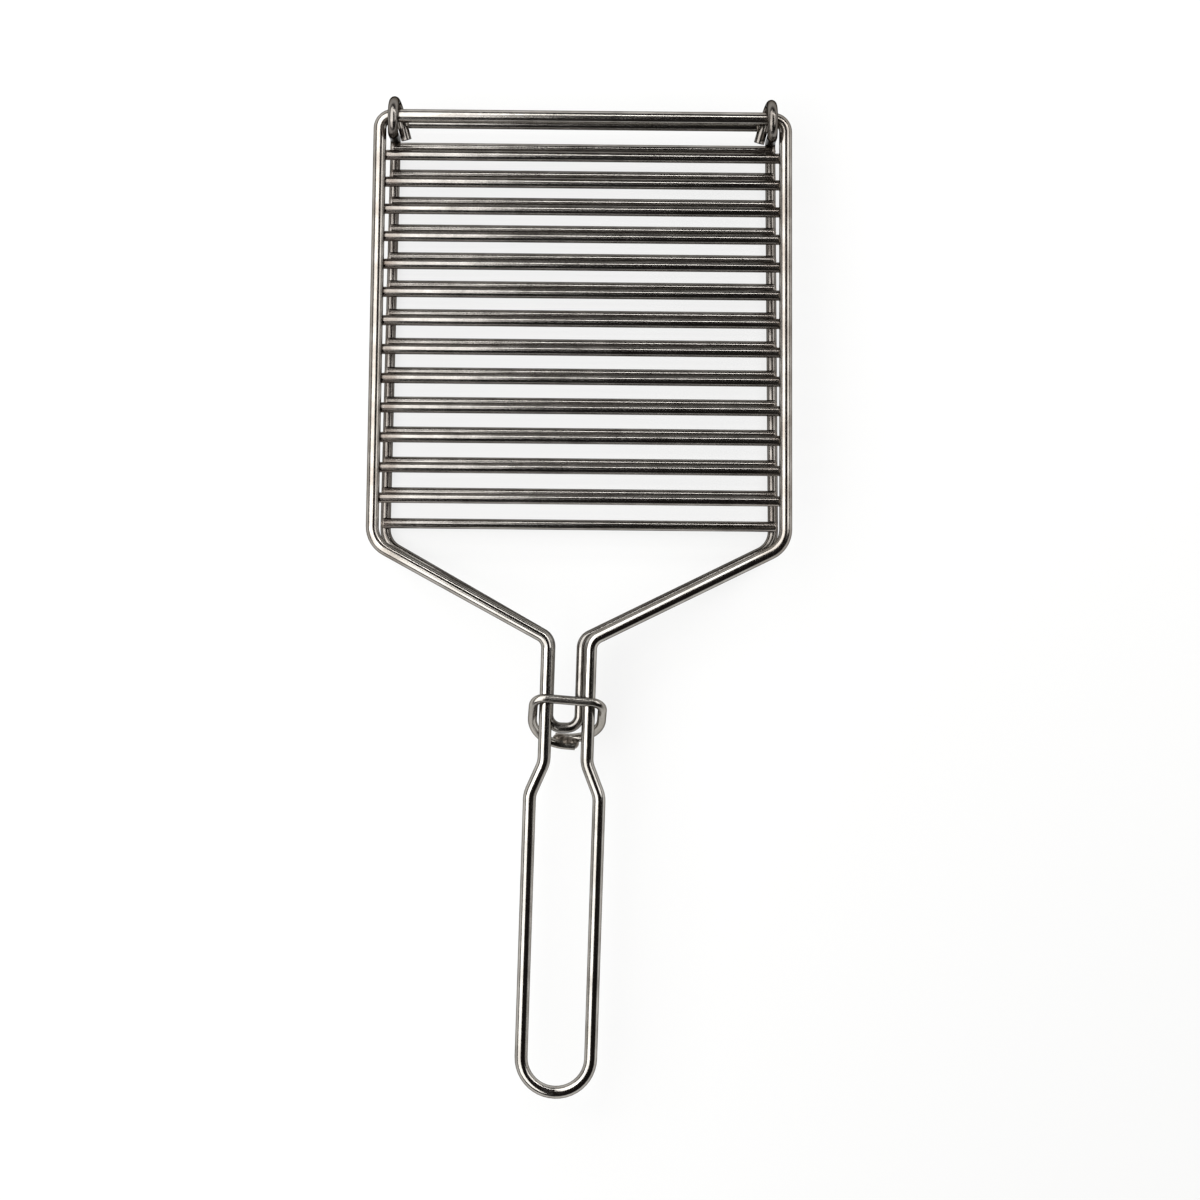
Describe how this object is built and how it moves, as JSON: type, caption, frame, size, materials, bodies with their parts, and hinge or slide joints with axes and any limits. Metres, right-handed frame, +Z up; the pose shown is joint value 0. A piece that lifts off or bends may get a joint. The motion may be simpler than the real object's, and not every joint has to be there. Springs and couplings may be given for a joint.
{
  "type": "campfire grill basket",
  "caption": "Hand-held wire grill basket: two hinged grids of cross rods, a long looped wire handle, and a ring that slides along the neck to lock the halves shut.",
  "frame": {"origin": "middle of the basket's footprint, on the ground it lies on", "axes": "+Z up, +Y along the basket away from the hand, towards the hinge, +X across the grids"},
  "size_m": [0.1642, 0.3852, 0.0363],
  "materials": {
    "frame_wire": "drawn and polished stainless steel wire",
    "rod_wire": "drawn stainless steel rod, welded across the frame",
    "ring_wire": "drawn and polished stainless steel wire"
  },
  "bodies": {
    "tray": {"tray_frame": "frame_wire", "lower_rod_01": "rod_wire", "lower_rod_02": "rod_wire", "lower_rod_03": "rod_wire", "lower_rod_04": "rod_wire", "lower_rod_05": "rod_wire", "lower_rod_06": "rod_wire", "lower_rod_07": "rod_wire", "lower_rod_08": "rod_wire", "lower_rod_09": "rod_wire", "lower_rod_10": "rod_wire", "lower_rod_11": "rod_wire", "lower_rod_12": "rod_wire", "lower_rod_13": "rod_wire", "lower_rod_14": "rod_wire", "eye_tie_rod": "rod_wire"},
    "handle": {"handle_frame": "frame_wire", "upper_rod_01": "rod_wire", "upper_rod_02": "rod_wire", "upper_rod_03": "rod_wire", "upper_rod_04": "rod_wire", "upper_rod_05": "rod_wire", "upper_rod_06": "rod_wire", "upper_rod_07": "rod_wire", "upper_rod_08": "rod_wire", "upper_rod_09": "rod_wire", "upper_rod_10": "rod_wire", "upper_rod_11": "rod_wire", "upper_rod_12": "rod_wire", "upper_rod_13": "rod_wire"},
    "ring": {"lock_ring": "ring_wire"}
  },
  "joints": [
    {"name": "grid_hinge", "type": "hinge", "parent": "tray", "child": "handle", "pos_m": [0, 0.18533, 0.027], "axis": [-1, 0, 0], "range_deg": [0, 270]},
    {"name": "ring_slide", "type": "slide", "parent": "handle", "child": "ring", "axis": [-0.0227, -0.9997, 0], "range_m": [-0.021, 0.015]}
  ]
}
